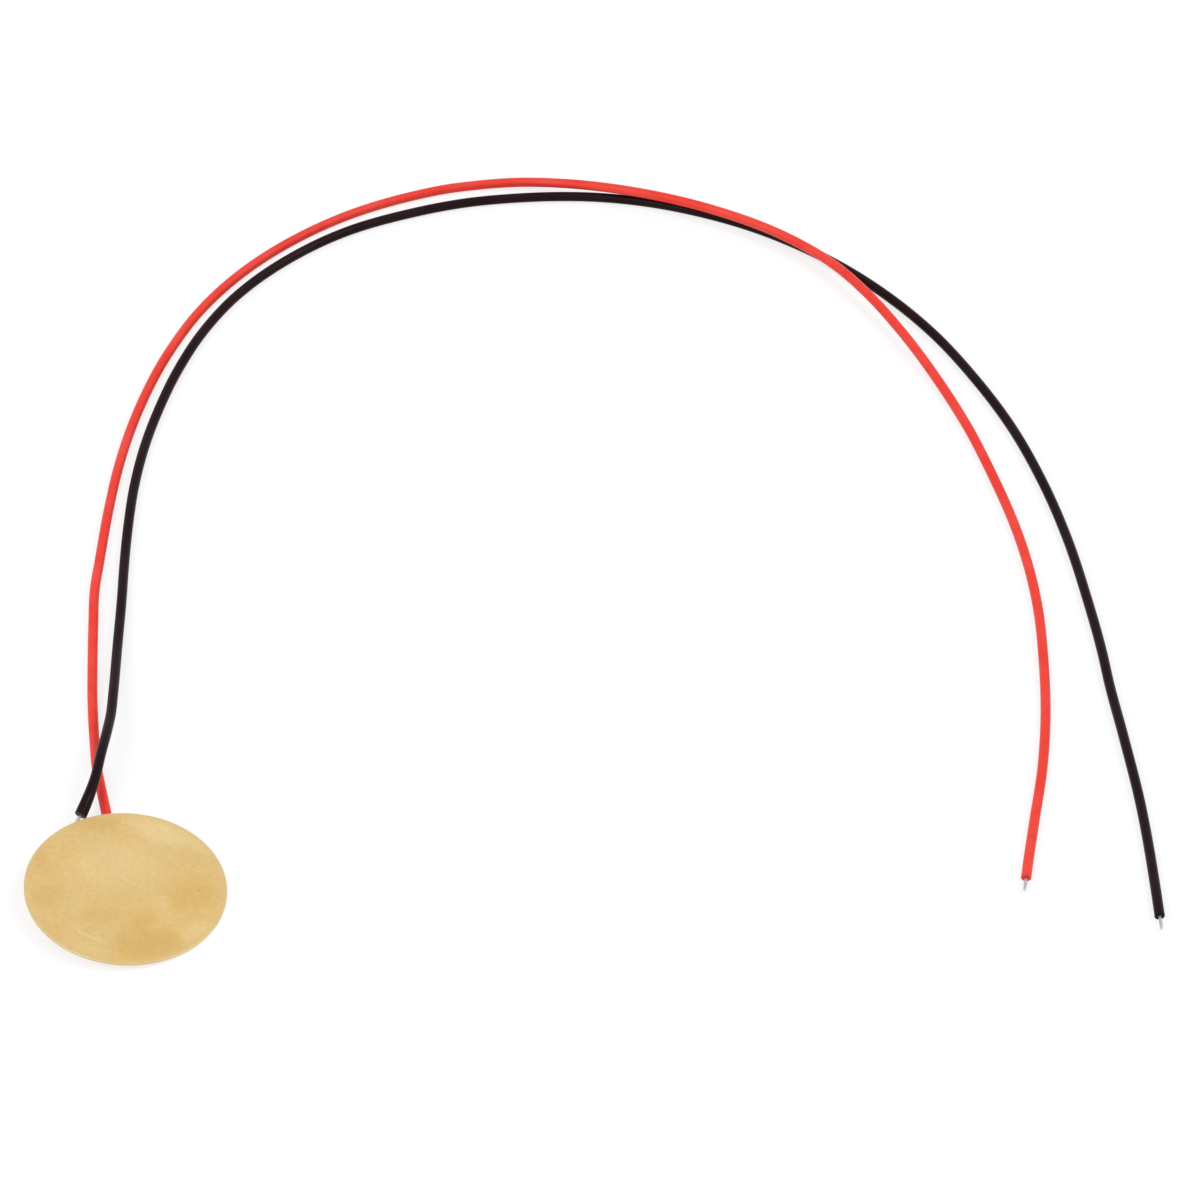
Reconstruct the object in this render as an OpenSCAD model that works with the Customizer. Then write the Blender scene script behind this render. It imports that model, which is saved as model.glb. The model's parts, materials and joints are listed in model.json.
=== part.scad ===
// Piezo sounder element: a brass plate with a silvered ceramic disc bonded under it and two
// soldered leads. It lies brass side up, leaning on the tall solder joint of the red lead and
// on the opposite edge of the plate. The Z = 0 plane is the surface it lies on, and the Z axis
// passes through the middle of the plate. Millimetres throughout.

/* [Brass plate] */
// Diameter of the brass plate
brass_d = 27; // [25.5:0.5:36]
// Thickness of the brass plate
brass_t = 0.3; // [0.15:0.05:0.6]
// Radius that stamping leaves on the plate's upper edge
edge_roll = 0.08; // [0.02:0.01:0.1]

/* [Ceramic stack] */
// Diameter of the ceramic disc
ceramic_d = 20; // [16:0.5:21.5]
// Thickness of the ceramic disc
ceramic_t = 0.2; // [0.1:0.05:0.4]
// Chamfer round the ceramic's free edge
ceramic_chamfer = 0.03; // [0.01:0.01:0.05]
// Thickness of each fired silver electrode
silver_t = 0.015; // [0.01:0.005:0.03]
// Bare ceramic left round the silver on the free face
silver_margin = 0.7; // [0.3:0.1:1]
// Thickness of the adhesive film between the brass and the ceramic
bond_t = 0.03; // [0.02:0.01:0.05]
// Width of the bead of adhesive squeezed out round the ceramic
bond_bead = 0.15; // [0.05:0.05:0.3]

/* [Solder joints] */
// Base diameter of the joint on the silver electrode
signal_joint_d = 3.4; // [2.8:0.1:4.2]
// Height of the joint on the silver electrode, which the element leans on
signal_joint_h = 1.3; // [1.1:0.05:1.6]
// Distance of that joint from the middle of the plate
signal_joint_r = 6.2; // [4:0.1:6.5]
// Direction of that joint from the middle of the plate, in degrees from +X
signal_joint_az = 105; // [95:1:115]
// Height of the joint on the brass margin
earth_joint_h = 1; // [0.8:0.05:1.3]
// Direction of that joint from the middle of the plate, in degrees from +X
earth_joint_az = 122; // [116:1:128]
// Bare brass kept on each side of that joint
joint_land = 0.2; // [0.05:0.05:0.3]
// Solder left between a wire and the face it is soldered to
solder_film = 0.03; // [0.01:0.01:0.08]

/* [Leads] */
// Outside diameter of the insulation
lead_d = 1.4; // [1.1:0.05:1.6]
// Diameter of the stranded conductor
core_d = 0.48; // [0.4:0.02:0.6]
// Clearance between the conductor and the bore of its insulation
bore_gap = 0.01; // [0.005:0.005:0.03]
// Bare tinned tip of the red lead
red_tip = 2.4; // [1:0.1:6]
// Bare tinned tip of the black lead
black_tip = 2.4; // [1:0.1:6]
// Extra width of the black insulation at its soldered end, swollen by the heat
black_swell = 0.3; // [0:0.05:0.4]
// Length of that swelling
swell_length = 7; // [2:0.5:9]

/* [Rest pose] */
// Direction towards which the plate leans, in degrees from +X
lean_az = -14; // [-20:1:-8]
// Air left between the leaned-on joint and the surface below
rest_gap = 0.02; // [0.01:0.01:0.05]

/* [Hidden] */
$fn = 96;

brass_r = brass_d / 2;
ceramic_r = ceramic_d / 2;
core_r = core_d / 2;
lead_r = lead_d / 2;

// Depths below the brass, where each layer of the stack starts
inner_silver_z = bond_t;
ceramic_z = inner_silver_z + silver_t;
outer_silver_z = ceramic_z + ceramic_t;
stack_t = outer_silver_z + silver_t;

// The earth joint fills the brass margin beside the ceramic, less a land on each side
margin_in = ceramic_r + bond_bead;
earth_joint_r = (margin_in + brass_r) / 2;
earth_joint_d = brass_r - margin_in - 2 * joint_land;
bell_steps = 14;

// Depth of a soldered wire's axis below the face it is soldered to
wire_drop = core_r + solder_film;
// A soldered wire starts this far behind the middle of its joint, and runs straight to just
// past the joint's foot
wire_back = 0.6;
wire_past = 0.1;
// The signal wire leaves its joint towards the point where its insulation starts
signal_exit_az = 101;

// The plate touches the surface at its lowest edge, and the signal joint just clears it
signal_behind = -signal_joint_r * cos(signal_joint_az - lean_az);
lean = atan((stack_t + signal_joint_h + rest_gap) / (brass_r + signal_behind));
lean_axis = [-sin(lean_az), cos(lean_az), 0];
plate_z = brass_r * sin(lean) + brass_t / 2 * cos(lean);

// Route of each lead's insulation, from the disc to its free end: X and Y, and how many lead
// diameters it is raised over lying on the surface. Near the plate, X and Y are counted from
// where the wire leaves its joint.
red_near = [[-0.55, 2.65, 0], [-1.7, 8.15, 0]];
red_far = [
    [-4.65, 20.5, 0], [-5.2, 23.3, 0], [-5.7, 27.5, 0], [-6.5, 36, 0], [-6.9, 43, 0],
    [-7.25, 51, 0], [-7.45, 58, 0], [-7.1, 64, 0], [-6.35, 75, 0], [-5.45, 83.5, 0],
    [-3.45, 94.5, 0], [0.6, 108, 0], [5, 117.5, 0], [10.5, 125.4, 0], [18.5, 133.3, 0],
    [26.5, 138.8, 0], [34, 142.3, 0], [42.5, 144.85, 0], [51, 145.4, 0.3], [58.5, 144.15, 0.85],
    [67.5, 142.1, 1.1], [79, 138.2, 1.1], [90.5, 131.7, 1.1], [97.5, 125.4, 1.1],
    [102, 119.3, 1.1], [107, 111, 0.8], [113, 99, 0.1], [115.5, 92.65, 0], [119, 81.35, 0],
    [121.3, 72.6, 0], [122.3, 67.9, 0], [123.6, 59.5, 0], [124.1, 54, 0], [124.35, 44, 0],
    [124.1, 33.5, 0], [123.2, 23.5, 0], [121.55, 13, 0], [120.3, 5, 0], [119.96, 2.6, 0]];
black_near = [[0.45, 1.35, 1.05], [1.3, 3.55, 1.65]];
black_far = [
    [-4.95, 18.5, 2.15], [-4.5, 22, 2.35], [-3.85, 27.5, 2.1], [-3.6, 31, 1.7],
    [-3.55, 36, 1.25], [-3.6, 46, 0.45], [-3.55, 56, 0.15], [-3.6, 62, 0], [-3.45, 71.5, 0],
    [-3.05, 79, 0], [-2, 87.5, 0], [-0.35, 95.5, 0], [2.2, 104.5, 0], [5.15, 112, 0],
    [9.7, 120, 0], [17, 128.25, 0], [25.5, 134.6, 0], [35, 138.8, 0], [43.5, 141.25, 0],
    [50, 142.2, 0], [56, 142.6, 0], [62.5, 142.45, 0], [71, 141.1, 0], [77.5, 139.15, 0],
    [85.5, 135.7, 0], [93.5, 130.75, 0], [98, 127.25, 0], [106.65, 118.5, 0], [111.55, 112, 0],
    [117.35, 102, 0], [122, 92, 0], [126.05, 80, 0], [129, 68, 0], [131, 56.5, 0],
    [132.6, 45, 0], [133.1, 40, 0], [134.55, 29, 0], [136, 17, 0], [137.05, 2, 0], [137.35, -4.4, 0]];

// A lead is swept with this many sides, a ring about every ring_gap, and closer where it is bare
sides = 8;
ring_gap = 5.6;
bare_ring_gap = 0.8;
// The swept conductor is this share of the round wire ends that it runs into, and overlaps
// them by this much
core_share = 0.97;
core_overlap = 0.3;

// Turns a point of the level plate, whose underside is at Z = 0, into its leaning place
function turned(p) = p * cos(lean) + cross(lean_axis, p) * sin(lean)
    + lean_axis * (lean_axis * p) * (1 - cos(lean));
function leaned(p) = turned(p - [0, 0, brass_t / 2]) + [0, 0, plate_z];

// Two points on a soldered wire's axis, one inside its round end and one just past it
function soldered_end(r, az, face_z, exit_az, d) = [
    for (x = [-core_overlap, wire_past])
        let (along = d / 2 + wire_past + x)
        leaned([r * cos(az) + along * cos(exit_az), r * sin(az) + along * sin(exit_az),
            -face_z - wire_drop])];

// A route's points, with their heights in millimetres, from the wire that leaves the joint
function placed(p) = [p.x, p.y, lead_r + p.z * lead_d];
function route(wire, near, far) = [
    for (p = near) placed([wire[1].x + p.x, wire[1].y + p.y, p.z]), for (p = far) placed(p)];

// Smooth curve through given points: its direction at each is that of the two chords that meet
// there, each weighted by the other's length, and level where the lead lies on the surface
function unit(v) = v / norm(v);
function chord(p, i) = norm(p[i + 1] - p[i]);
function chord_dir(p, i) = (p[i + 1] - p[i]) / chord(p, i);
function levelled(v, z) = z > lead_r ? v : [v.x, v.y, 0];
function heading(p, i) =
    i == 0 ? chord_dir(p, 0)
    : i == len(p) - 1 ? chord_dir(p, i - 1)
    : levelled((chord_dir(p, i - 1) * chord(p, i) + chord_dir(p, i) * chord(p, i - 1))
        / (chord(p, i - 1) + chord(p, i)), p[i].z);
function blend(p, q, u, v, t) = p * (1 + 2 * t) * pow(1 - t, 2) + q * (3 - 2 * t) * t * t
    + u * t * pow(1 - t, 2) - v * (1 - t) * t * t;
function sampled(p, gap, chords) = [
    for (i = [0 : chords - 1])
        let (d = chord(p, i), n = ceil(d / gap))
        for (j = [0 : n - 1])
            blend(p[i], p[i + 1], heading(p, i) * d, heading(p, i + 1) * d, j / n)];
function smooth(p, gap) = concat(sampled(p, gap, len(p) - 1), [p[len(p) - 1]]);

// Octagonal ring round point i of a path, square to it and with a flat side down
function along(path, i) = unit(path[min(i + 1, len(path) - 1)] - path[max(i - 1, 0)]);
function ring(path, i, r) =
    let (t = along(path, i), s = unit(cross(t, [0, 0, 1])), u = cross(s, t))
    [for (k = [0 : sides - 1])
        let (a = (k + 0.5) * 360 / sides) path[i] + (s * cos(a) + u * sin(a)) * r];
// The rings of a path, wider by swell at its start and down to r where the swelling ends
function rings(path, r, swell = 0) = [
    for (i = [0 : len(path) - 1])
        each ring(path, i, r + swell * max(0, 1 - norm(path[i] - path[0]) / swell_length))];

// Triangles of a swept wall of n rings whose points start at index base, seen from outside
function wall(n, base) = [
    for (i = [0 : n - 2]) for (k = [0 : sides - 1])
        let (a = base + i * sides + k, b = base + i * sides + (k + 1) % sides)
        each [[a, b, a + sides], [b, b + sides, a + sides]]];
function flipped(faces) = [for (f = faces) [f[2], f[1], f[0]]];
// Triangles of the ring-shaped end between two rings of points
function rim(a, b) = [
    for (k = [0 : sides - 1])
        let (j = (k + 1) % sides)
        each [[a + k, b + k, a + j], [a + j, b + k, b + j]]];

// Solid rod swept along a path
module swept_rod(path, r) {
    n = len(path);
    first = [for (k = [sides - 1 : -1 : 0]) k];
    last = [for (k = [0 : sides - 1]) (n - 1) * sides + k];
    polyhedron(rings(path, r), concat(wall(n, 0), [first], [last]));
}

// Hollow tube swept along a path, with its flats at the given radii and swollen at its start
module swept_tube(path, outer_r, inner_r, swell) {
    n = len(path);
    flat = cos(180 / sides);
    inner = n * sides;
    end = (n - 1) * sides;
    points = concat(rings(path, outer_r / flat, swell / flat), rings(path, inner_r / flat));
    faces = concat(wall(n, 0), flipped(wall(n, inner)), rim(0, inner),
        flipped(rim(end, inner + end)));
    polyhedron(points, faces);
}

// Puts what is modelled on a level plate, underside at Z = 0, into the leaning rest pose
module on_plate() {
    translate([0, 0, plate_z]) rotate(lean, lean_axis) translate([0, 0, -brass_t / 2]) children();
}

// Straight soldered end of a conductor, in a joint's own place under the plate
module soldered_wire(d, exit_az) {
    rotate([0, 0, exit_az]) translate([-wire_back, 0, -wire_drop]) rotate([0, 90, 0])
        cylinder(r = core_r, h = wire_back + d / 2 + wire_past);
}

// Bell of solder with a wetted foot, hanging from Z = 0 round the wire it holds
module solder_bell(d, h, exit_az) {
    function bell(t) = h * pow(cos(90 * pow(t, 1.25)), 2);
    difference() {
        rotate_extrude() polygon(concat([[0, 0]],
            [for (i = [0 : bell_steps]) [d / 2 * i / bell_steps, -bell(i / bell_steps)]]));
        soldered_wire(d, exit_az);
    }
}

// Place of each joint on the underside of the level plate
module at_signal_joint() {
    on_plate() translate([signal_joint_r * cos(signal_joint_az),
        signal_joint_r * sin(signal_joint_az), -stack_t]) children();
}

module at_earth_joint() {
    on_plate() translate([earth_joint_r * cos(earth_joint_az),
        earth_joint_r * sin(earth_joint_az), 0]) children();
}

// Stamped disc, its upper edge rolled over by the die
module brass_plate() {
    roll_steps = 6;
    color("#dfc184") on_plate() rotate_extrude() polygon(concat(
        [[0, 0], [brass_r, 0]],
        [for (i = [0 : roll_steps])
            let (a = 90 * i / roll_steps)
            [brass_r - edge_roll * (1 - cos(a)), brass_t - edge_roll * (1 - sin(a))]],
        [[0, brass_t]]));
}

// Adhesive film, with the bead that climbs the ceramic's edge
module bond_film() {
    bead_h = bond_t + silver_t + ceramic_t / 2;
    color("#c9b98c") on_plate() difference() {
        rotate_extrude() polygon([[0, 0], [ceramic_r + bond_bead, 0],
            [ceramic_r + bond_bead * 0.4, -bead_h * 0.45], [ceramic_r, -bead_h], [0, -bead_h]]);
        translate([0, 0, -bead_h]) cylinder(r = ceramic_r, h = bead_h - bond_t);
    }
}

module inner_electrode() {
    color("#c8c8c4") on_plate() translate([0, 0, -ceramic_z]) cylinder(r = ceramic_r, h = silver_t);
}

module ceramic_disc() {
    color("#e8e2cf") on_plate() translate([0, 0, -outer_silver_z]) {
        cylinder(r1 = ceramic_r - ceramic_chamfer, r2 = ceramic_r, h = ceramic_chamfer);
        translate([0, 0, ceramic_chamfer]) cylinder(r = ceramic_r, h = ceramic_t - ceramic_chamfer);
    }
}

module outer_electrode() {
    color("#d4d4d0") on_plate() translate([0, 0, -stack_t])
        cylinder(r = ceramic_r - silver_margin, h = silver_t);
}

module signal_solder() {
    color("#b9bcc0") at_signal_joint() solder_bell(signal_joint_d, signal_joint_h, signal_exit_az);
}

module earth_solder() {
    color("#b9bcc0") at_earth_joint() solder_bell(earth_joint_d, earth_joint_h, earth_joint_az);
}

// The soldered end of each wire, and the line that its insulation follows
red_wire = soldered_end(signal_joint_r, signal_joint_az, stack_t, signal_exit_az, signal_joint_d);
red_line = smooth(route(red_wire, red_near, red_far), ring_gap);
black_wire = soldered_end(earth_joint_r, earth_joint_az, 0, earth_joint_az, earth_joint_d);
black_line = smooth(route(black_wire, black_near, black_far), ring_gap);

// Swept conductor from the end of its soldered stretch to inside its tip
module core(wire, line, tip) {
    last = len(line) - 1;
    end = line[last];
    out = unit(end - line[last - 1]);
    bare = sampled(concat(wire, [line[0], line[1]]), bare_ring_gap, len(wire));
    covered = [for (i = [0 : last - 1]) line[i]];
    swept_rod(concat(bare, covered, [end + out * core_overlap]), core_r * core_share);
    translate(end) rotate([0, acos(out.z), atan2(out.y, out.x)]) cylinder(r = core_r, h = tip);
}

module insulation(line, swell = 0) {
    swept_tube(line, lead_r, core_r + bore_gap, swell / 2);
}

module red_insulation() {
    color("#ee4640") insulation(red_line);
}

module red_core() {
    color("#b8bcc0") {
        at_signal_joint() soldered_wire(signal_joint_d, signal_exit_az);
        core(red_wire, red_line, red_tip);
    }
}

module black_insulation() {
    color("#1d1b20") insulation(black_line, black_swell);
}

module black_core() {
    color("#b8bcc0") {
        at_earth_joint() soldered_wire(earth_joint_d, earth_joint_az);
        core(black_wire, black_line, black_tip);
    }
}

brass_plate();
bond_film();
inner_electrode();
ceramic_disc();
outer_electrode();
signal_solder();
earth_solder();
red_insulation();
red_core();
black_insulation();
black_core();
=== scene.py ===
"""Looks of a piezo sounder element: a brass plate, a silvered ceramic and two soldered leads.

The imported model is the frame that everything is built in, in metres. The brass plate, the
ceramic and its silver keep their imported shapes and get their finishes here. The adhesive with
its squeezed-out bead, the solder joints and the leads are surfaces worked out below, and they
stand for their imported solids.
"""

import json
import logging
import math
from dataclasses import dataclass
from enum import Enum
from functools import cache
from typing import ClassVar

import bpy
import numpy as np
from mathutils import Matrix, Vector
from numpy.typing import NDArray


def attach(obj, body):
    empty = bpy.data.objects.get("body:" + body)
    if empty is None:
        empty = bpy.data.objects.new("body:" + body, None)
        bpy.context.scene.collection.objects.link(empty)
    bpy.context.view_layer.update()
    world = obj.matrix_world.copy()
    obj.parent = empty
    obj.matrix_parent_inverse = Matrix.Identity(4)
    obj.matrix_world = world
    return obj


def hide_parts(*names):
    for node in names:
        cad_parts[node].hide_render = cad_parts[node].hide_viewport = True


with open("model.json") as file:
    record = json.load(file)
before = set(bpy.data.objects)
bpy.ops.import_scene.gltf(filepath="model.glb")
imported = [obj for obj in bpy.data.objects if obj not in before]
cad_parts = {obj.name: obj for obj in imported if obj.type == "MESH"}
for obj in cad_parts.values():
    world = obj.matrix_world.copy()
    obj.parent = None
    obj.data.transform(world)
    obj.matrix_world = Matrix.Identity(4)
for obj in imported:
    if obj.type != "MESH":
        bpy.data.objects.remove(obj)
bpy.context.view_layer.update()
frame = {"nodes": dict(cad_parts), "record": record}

Array = NDArray[np.float64]
Colour = tuple[float, float, float, float]
Point = tuple[float, float, float]
Piece = bpy.types.Object
Node = bpy.types.Node
Socket = bpy.types.NodeSocket
Tree = bpy.types.NodeTree
Inputs = dict[str | int, object]
Waves = tuple[tuple[int, float, float], ...]

log = logging.getLogger("piezo_element")

MM = 0.001
TURN = 2 * math.pi
SHARP_ANGLE = math.radians(38)


class Slot(Enum):
    """Material slots of the record."""

    ADHESIVE = "adhesive"
    SOLDER = "solder"
    TINNED = "tinned_copper"
    RED_PVC = "red_pvc"
    BLACK_PVC = "black_pvc"


def add_to_scene(name: str, data: bpy.types.ID) -> Piece:
    """Puts a mesh, a camera or a lamp into the scene, and returns its object."""
    made = bpy.data.objects.new(name, data)
    bpy.context.scene.collection.objects.link(made)
    return made


# ---- Surfaces ----


def unit(vectors: Array) -> Array:
    """Gives each vector of an array its length of one."""
    return vectors / np.linalg.norm(vectors, axis=-1, keepdims=True)


def fall(values: Array, width: float) -> Array:
    """Falls smoothly from 1 at 0 to 0 at width: the square of a quarter cosine."""
    return np.cos(np.clip(values / width, 0, 1) * math.pi / 2) ** 2


def rounding(from_end: Array, length: float) -> Array:
    """Quarter circle from 0 at an end to 1 at length from it."""
    return np.sqrt(1 - np.clip(1 - from_end / length, 0, 1) ** 2)


def ripple(angles: Array, waves: Waves) -> Array:
    """Sums cosines round a circle, for the small unevenness of things made by hand.

    Args:
        angles: angles round the circle, in radians.
        waves: count round the circle, height and phase of each wave.

    Returns:
        The sum at each angle.
    """
    count, height, phase = np.array(waves).T
    return (height * np.cos(angles[..., None] * count + phase)).sum(axis=-1)


def ring_angles(sides: int) -> Array:
    """Angles of the points of a ring round a line, from a seam at the bottom."""
    return np.arange(sides) * TURN / sides - math.pi / 2


@dataclass
class Rings:
    """Surface of rings of points, anticlockwise as seen from where the rows lead.

    Attributes:
        points: (rows, sides, 3) points.
        first_pole: point that closes the first ring, if any.
        last_pole: point that closes the last ring, if any.
        looped: whether the last ring joins the first.
        along: (rows, sides, 3) places in the piece's own measure, for patterns that follow it.
    """

    points: Array
    first_pole: Array | None = None
    last_pole: Array | None = None
    looped: bool = False
    along: Array | None = None

    def faces(self) -> list[list[int]]:
        """Joins point k of ring i to its neighbours on ring i + 1, and each pole to its ring.

        Returns:
            Quads, then the triangles round the poles, all facing outwards.
        """
        rows, sides = self.points.shape[:2]
        here = np.arange(rows if self.looped else rows - 1)[:, None] * sides
        there = (here + sides) % (rows * sides)
        k = np.arange(sides)
        next_k = (k + 1) % sides
        quads = np.stack([here + k, here + next_k, there + next_k, there + k], axis=-1)
        faces = quads.reshape(-1, 4).tolist()
        pole = rows * sides
        if self.first_pole is not None:
            faces += np.stack([np.full(sides, pole), next_k, k], axis=-1).tolist()
            pole += 1
        if self.last_pole is not None:
            last = (rows - 1) * sides
            faces += np.stack([last + k, last + next_k, np.full(sides, pole)], axis=-1).tolist()
        return faces

    def piece(self, name: str) -> Piece:
        """Puts the surface into a new object at the origin.

        Args:
            name: name of the piece.

        Returns:
            The new object.
        """
        poles = [pole[None, :] for pole in (self.first_pole, self.last_pole) if pole is not None]
        points = np.concatenate([self.points.reshape(-1, 3), *poles])
        mesh = bpy.data.meshes.new(name)
        mesh.from_pydata(points.tolist(), [], self.faces())
        mesh.shade_smooth()
        mesh.set_sharp_from_angle(angle=SHARP_ANGLE)
        if self.along is not None:
            measure = np.zeros_like(points)
            measure[: self.along.size // 3] = self.along.reshape(-1, 3)
            layer = mesh.attributes.new("along", "FLOAT_VECTOR", "POINT")
            layer.data.foreach_set("vector", measure.ravel())
        return add_to_scene(name, mesh)


@dataclass
class Line:
    """Line through closely spaced points, with a level side and an upright at each place.

    Attributes:
        points: (n, 3) points.
    """

    points: Array

    def __post_init__(self) -> None:
        """Measures the line and finds its directions."""
        steps = np.linalg.norm(np.diff(self.points, axis=0), axis=1)
        self.travel = np.concatenate([[0.0], np.cumsum(steps)])
        self.heading = unit(np.gradient(self.points, self.travel, axis=0))

    @property
    def length(self) -> float:
        """Length of the line."""
        return float(self.travel[-1])

    def between(self, values: Array, places: Array) -> Array:
        """Interpolates each column of values at the given lengths along the line."""
        return np.stack([np.interp(places, self.travel, column) for column in values.T], axis=-1)

    def carry(self, places: Array, radii: Array, shift: Array | float = 0.0) -> Array:
        """Carries rings along the line, each square to it.

        Point k of ring i is the line's place, plus radius times (cosine of k's angle times the
        level side plus sine times the upright), plus shift times the heading.

        Args:
            places: (n,) lengths along the line.
            radii: (n, sides) radius of each point.
            shift: (n, sides) moves along the line.

        Returns:
            (n, sides, 3) points.
        """
        centre = self.between(self.points, places)[:, None, :]
        heading = unit(self.between(self.heading, places))
        side = unit(np.cross([0.0, 0.0, 1.0], heading))
        up = np.cross(heading, side)
        angle = ring_angles(radii.shape[1])[None, :, None]
        spoke = np.cos(angle) * side[:, None, :] + np.sin(angle) * up[:, None, :]
        move = np.broadcast_to(shift, radii.shape)[..., None]
        return centre + radii[..., None] * spoke + move * heading[:, None, :]


# ---- Shader nodes ----


class Sheet:
    """Adds nodes to one shader tree, and sets or joins their inputs."""

    def __init__(self, tree: Tree) -> None:
        """Keeps the tree to add to."""
        self.tree = tree

    def fill(self, node: Node, inputs: Inputs) -> Node:
        """Sets or joins inputs of a node.

        Args:
            node: the node.
            inputs: a value or another node's socket for each input, by name or number.

        Returns:
            The same node.
        """
        for key, value in inputs.items():
            if isinstance(value, Socket):
                self.tree.links.new(value, node.inputs[key])
            else:
                node.inputs[key].default_value = value
        return node

    def add(self, kind: str, inputs: Inputs | None = None, **settings: object) -> Node:
        """Adds a node.

        Args:
            kind: the node's type, without its ShaderNode prefix.
            inputs: what its inputs are set to or joined with.
            settings: the node's own options.

        Returns:
            The new node.
        """
        node = self.tree.nodes.new("ShaderNode" + kind)
        for name, value in settings.items():
            setattr(node, name, value)
        return self.fill(node, inputs or {})

    def maths(self, operation: str, a: object, b: object = 0.0) -> Socket:
        """Result of a Math node on two numbers or sockets."""
        return self.add("Math", {0: a, 1: b}, operation=operation).outputs[0]

    def vectors(self, operation: str, a: object, b: object) -> Socket:
        """Vector result of a Vector Math node."""
        return self.add("VectorMath", {0: a, 1: b}, operation=operation).outputs[0]

    def length(self, vector: object) -> Socket:
        """Length of a vector."""
        return self.add("VectorMath", {0: vector}, operation="LENGTH").outputs["Value"]

    def turned(self, vector: object, angle: object) -> Socket:
        """Vector turned round Z."""
        node = self.add("VectorRotate", {"Vector": vector, "Angle": angle}, rotation_type="Z_AXIS")
        return node.outputs[0]

    def ranged(self, value: object, low: object, high: object, to_low: float = 0.0,
               to_high: float = 1.0, interpolation: str = "SMOOTHSTEP") -> Socket:
        """Step from to_low at low to to_high at high, smooth where nothing else is asked for."""
        return self.add("MapRange", {
            "Value": value, "From Min": low, "From Max": high, "To Min": to_low, "To Max": to_high,
        }, interpolation_type=interpolation).outputs[0]

    def layers(self, base: object, *layers: tuple[Socket, float, Colour], blend: str = "MIX") -> Socket:
        """Lays tints over a colour.

        Args:
            base: the colour under all of them.
            layers: mask, greatest share and tint of each, from the lowest up.
            blend: how each mixes with what is under it.

        Returns:
            The colour with its layers.
        """
        for mask, share, tint in layers:
            amount = self.maths("MULTIPLY", mask, share)
            base = self.add("Mix", {0: amount, 6: base, 7: tint}, data_type="RGBA",
                            blend_type=blend).outputs[2]
        return base

    def total(self, base: object, *terms: tuple[Socket, float]) -> Socket:
        """Adds masks to a value, each times its weight."""
        for mask, weight in terms:
            base = self.maths("ADD", base, self.maths("MULTIPLY", mask, weight))
        return base

    def shared(self, pattern: Tree, vector: Socket, **inputs: object) -> Socket:
        """Places a shared pattern with its own values, and returns its mask."""
        return self.add("Group", {"Vector": vector, **inputs}, node_tree=pattern).outputs["Mask"]


class Pattern(Sheet):
    """Node group from a Vector and named values to a Mask, built once and used by many finishes."""

    def __init__(self, name: str, **inputs: str) -> None:
        """Makes the group's sockets.

        Args:
            name: the group's name.
            inputs: socket type of each input but Vector, without its NodeSocket prefix.
        """
        super().__init__(bpy.data.node_groups.new(name, "ShaderNodeTree"))
        for label, kind in {"Vector": "Vector", **inputs}.items():
            self.tree.interface.new_socket(label, in_out="INPUT", socket_type="NodeSocket" + kind)
        self.tree.interface.new_socket("Mask", in_out="OUTPUT", socket_type="NodeSocketFloat")
        self.given = self.tree.nodes.new("NodeGroupInput").outputs

    def finished(self, mask: Socket) -> Tree:
        """Joins the group's output and returns the group."""
        self.tree.links.new(mask, self.tree.nodes.new("NodeGroupOutput").inputs["Mask"])
        return self.tree


@cache
def cloud_pattern() -> Tree:
    """Soft clouds: noise taken through a smooth step from Low to High."""
    pattern = Pattern("soft_clouds", Scale="Float", Low="Float", High="Float")
    given = pattern.given
    noise = pattern.add("TexNoise", {
        "Vector": given["Vector"], "Scale": given["Scale"], "Detail": 3.0, "Distortion": 0.4})
    return pattern.finished(pattern.ranged(noise.outputs[0], given["Low"], given["High"]))


@cache
def patch_pattern() -> Tree:
    """Soft ellipse: 1 at Centre, 0 where the distance, each way over its Reach, is 1."""
    pattern = Pattern("soft_patch", Centre="Vector", Reach="Vector", Turn="Float")
    given = pattern.given
    arm = pattern.vectors("SUBTRACT", given["Vector"], given["Centre"])
    share = pattern.vectors("DIVIDE", pattern.turned(arm, given["Turn"]), given["Reach"])
    return pattern.finished(pattern.ranged(pattern.length(share), 0.25, 1.0, 1.0, 0.0))


@cache
def speck_pattern() -> Tree:
    """Specks: the middles of Share of a Voronoi's cells, up to Size of a cell wide."""
    pattern = Pattern("specks", Scale="Float", Share="Float", Size="Float")
    given = pattern.given
    cells = pattern.add("TexVoronoi", {"Vector": given["Vector"], "Scale": given["Scale"]}).outputs
    level = pattern.add("SeparateColor", {0: cells["Color"]}).outputs[0]
    chosen = pattern.maths("LESS_THAN", level, given["Share"])
    core = pattern.maths("MULTIPLY", given["Size"], 0.5)
    near = pattern.ranged(cells["Distance"], core, given["Size"], 1.0, 0.0, "LINEAR")
    return pattern.finished(pattern.maths("MULTIPLY", chosen, near))


@cache
def grain_pattern() -> Tree:
    """Fine lines: noise whose measure is stretched by Stretch, turned by Turn."""
    pattern = Pattern("drawn_grain", Stretch="Vector", Turn="Float")
    given = pattern.given
    turned = pattern.turned(given["Vector"], given["Turn"])
    stretched = pattern.vectors("MULTIPLY", turned, given["Stretch"])
    noise = pattern.add("TexNoise", {
        "Vector": stretched, "Scale": 1.0, "Detail": 4.0, "Roughness": 0.6})
    return pattern.finished(pattern.ranged(noise.outputs[0], 0.3, 0.7))


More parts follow.
